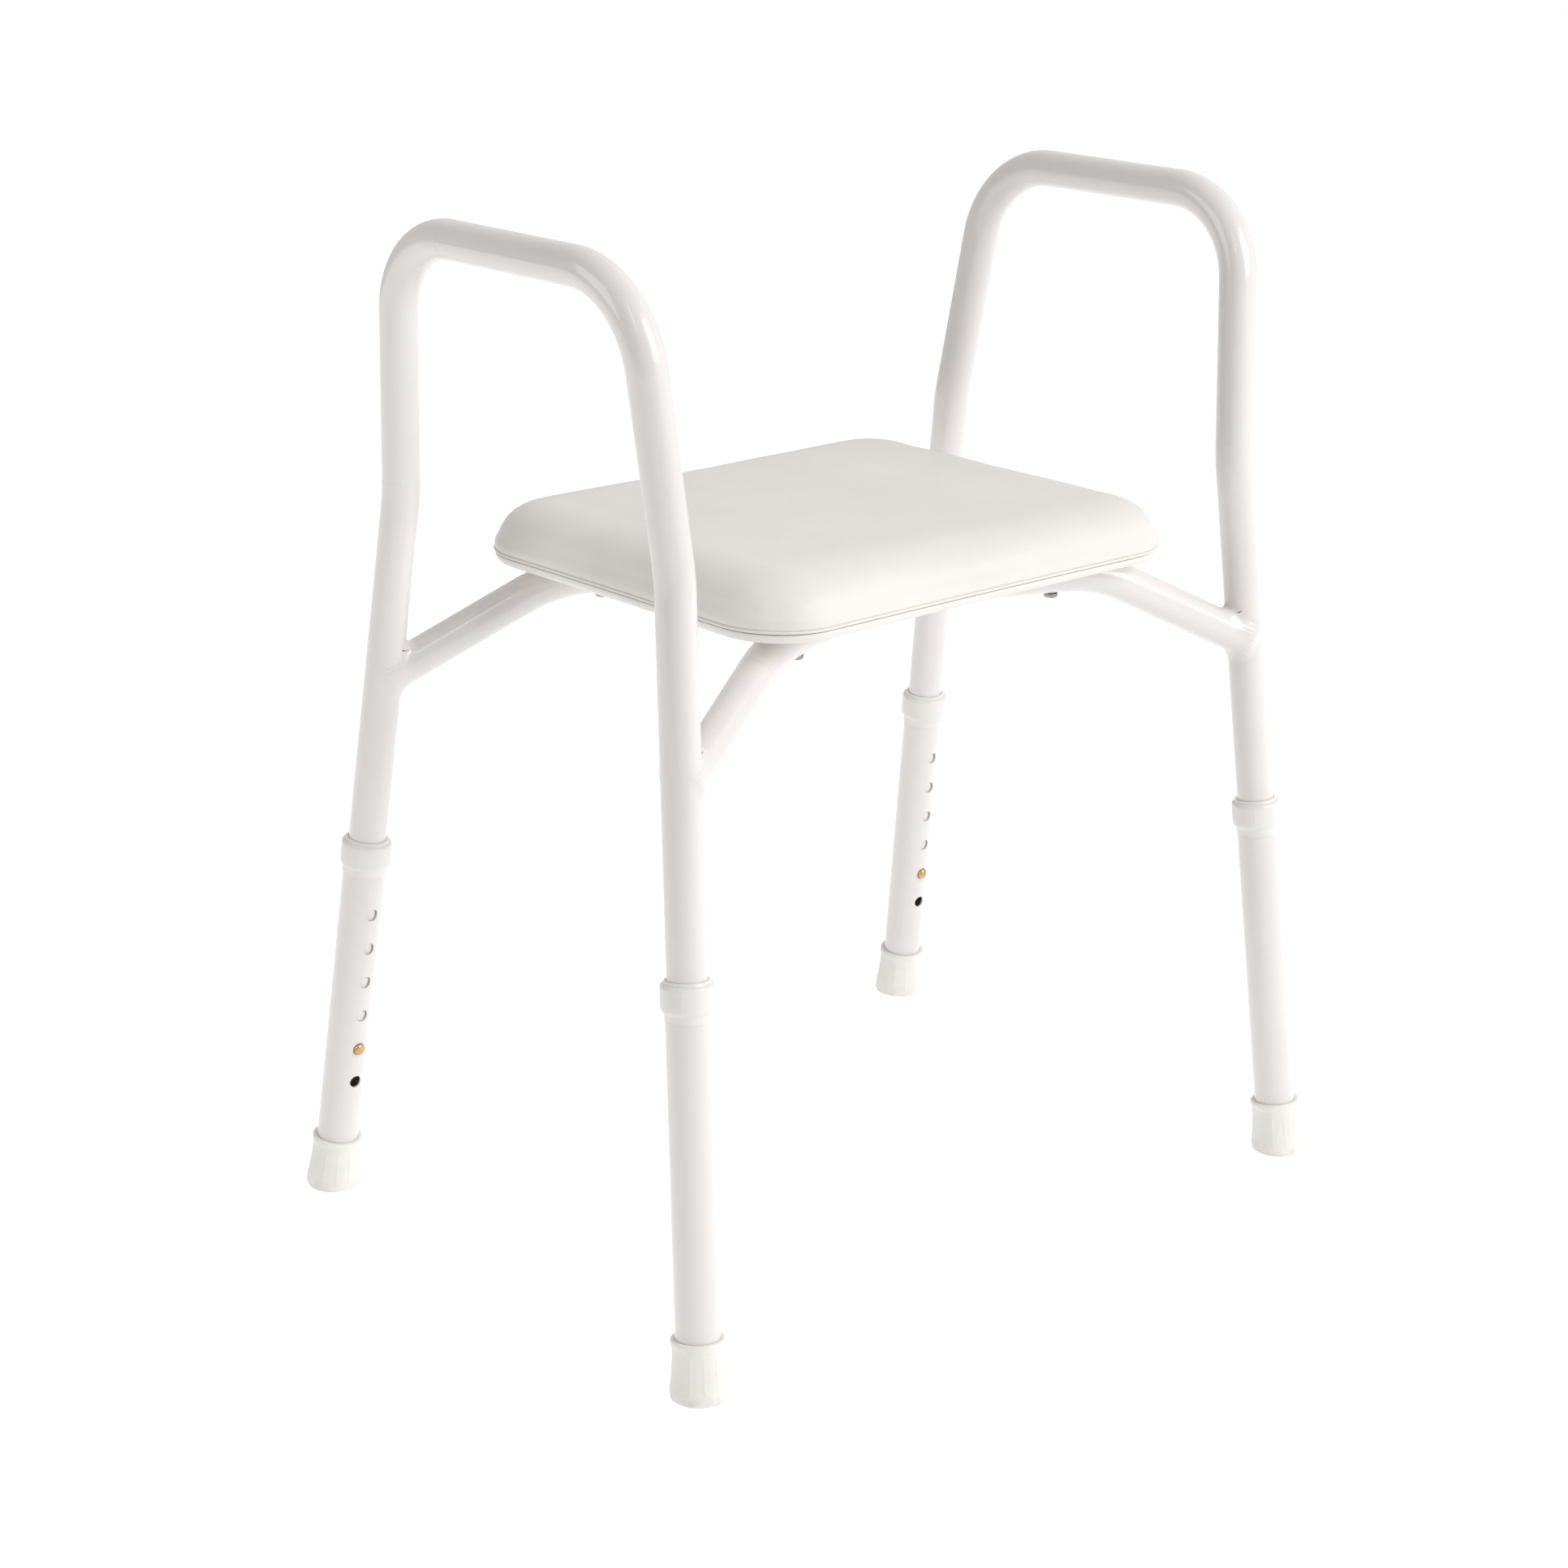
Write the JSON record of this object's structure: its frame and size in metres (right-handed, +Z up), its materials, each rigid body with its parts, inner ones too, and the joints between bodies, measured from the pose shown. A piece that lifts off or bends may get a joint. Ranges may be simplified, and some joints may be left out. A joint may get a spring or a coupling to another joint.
{
  "type": "shower stool",
  "caption": "Padded shower stool with two hooped white tube armrests, splayed height-adjustable legs with snap buttons, and rubber feet.",
  "frame": {"origin": "on the floor under the middle of the seat", "axes": "+Z up, +X towards the right armrest, the front faces -Y"},
  "size_m": [0.5968, 0.4284, 0.6947],
  "materials": {
    "frame_enamel": "white gloss powder coat on steel tube",
    "leg_enamel": "white gloss powder coat on steel tube",
    "collar_plastic": "satin white moulded plastic",
    "foot_rubber": "off-white matt rubber",
    "button_brass": "yellow passivated, satin",
    "spring_steel": "plain spring steel",
    "bolt_steel": "dark plated steel",
    "seat_board": "satin off-white moulded board",
    "seat_padding": "off-white padded vinyl, satin, fine grain"
  },
  "bodies": {
    "frame": {"arm_frame_left": "frame_enamel", "arm_frame_right": "frame_enamel", "cross_tube_front": "frame_enamel", "cross_tube_rear": "frame_enamel", "weld_front_left": "frame_enamel", "weld_front_right": "frame_enamel", "weld_rear_left": "frame_enamel", "weld_rear_right": "frame_enamel", "seat_base": "seat_board", "seat_cushion": "seat_padding", "seat_bolts": "bolt_steel", "button_spring_front_left": "spring_steel", "button_spring_front_right": "spring_steel", "button_spring_rear_left": "spring_steel", "button_spring_rear_right": "spring_steel"},
    "leg_front_left": {"lower_leg_front_left": "leg_enamel", "collar_front_left": "collar_plastic", "foot_front_left": "foot_rubber"},
    "button_front_left": {"snap_button_front_left": "button_brass"},
    "leg_front_right": {"lower_leg_front_right": "leg_enamel", "collar_front_right": "collar_plastic", "foot_front_right": "foot_rubber"},
    "button_front_right": {"snap_button_front_right": "button_brass"},
    "leg_rear_left": {"lower_leg_rear_left": "leg_enamel", "collar_rear_left": "collar_plastic", "foot_rear_left": "foot_rubber"},
    "button_rear_left": {"snap_button_rear_left": "button_brass"},
    "leg_rear_right": {"lower_leg_rear_right": "leg_enamel", "collar_rear_right": "collar_plastic", "foot_rear_right": "foot_rubber"},
    "button_rear_right": {"snap_button_rear_right": "button_brass"}
  },
  "joints": [
    {"name": "leg_slide_front_left", "type": "slide", "parent": "frame", "child": "leg_front_left", "axis": [-0.0491, -0.1178, -0.9918], "range_m": [-0.0254, 0.1016], "deforming": ["snap_button_front_left"]},
    {"name": "button_press_front_left", "type": "slide", "parent": "frame", "child": "button_front_left", "axis": [0.0058, -0.993, 0.1177], "range_m": [0, 0.0044], "stiffness_N_per_m": 2500, "springref_m": -0.0015, "deforming": ["button_spring_front_left"]},
    {"name": "leg_slide_front_right", "type": "slide", "parent": "frame", "child": "leg_front_right", "axis": [0.0491, -0.1178, -0.9918], "range_m": [-0.0254, 0.1016], "deforming": ["snap_button_front_right"]},
    {"name": "button_press_front_right", "type": "slide", "parent": "frame", "child": "button_front_right", "axis": [-0.0058, -0.993, 0.1177], "range_m": [0, 0.0044], "stiffness_N_per_m": 2500, "springref_m": -0.0015, "deforming": ["button_spring_front_right"]},
    {"name": "leg_slide_rear_left", "type": "slide", "parent": "frame", "child": "leg_rear_left", "axis": [-0.0491, 0.1178, -0.9918], "range_m": [-0.0254, 0.1016], "deforming": ["snap_button_rear_left"]},
    {"name": "button_press_rear_left", "type": "slide", "parent": "frame", "child": "button_rear_left", "axis": [0.0058, 0.993, 0.1177], "range_m": [0, 0.0044], "stiffness_N_per_m": 2500, "springref_m": -0.0015, "deforming": ["button_spring_rear_left"]},
    {"name": "leg_slide_rear_right", "type": "slide", "parent": "frame", "child": "leg_rear_right", "axis": [0.0491, 0.1178, -0.9918], "range_m": [-0.0254, 0.1016], "deforming": ["snap_button_rear_right"]},
    {"name": "button_press_rear_right", "type": "slide", "parent": "frame", "child": "button_rear_right", "axis": [-0.0058, 0.993, 0.1177], "range_m": [0, 0.0044], "stiffness_N_per_m": 2500, "springref_m": -0.0015, "deforming": ["button_spring_rear_right"]}
  ]
}
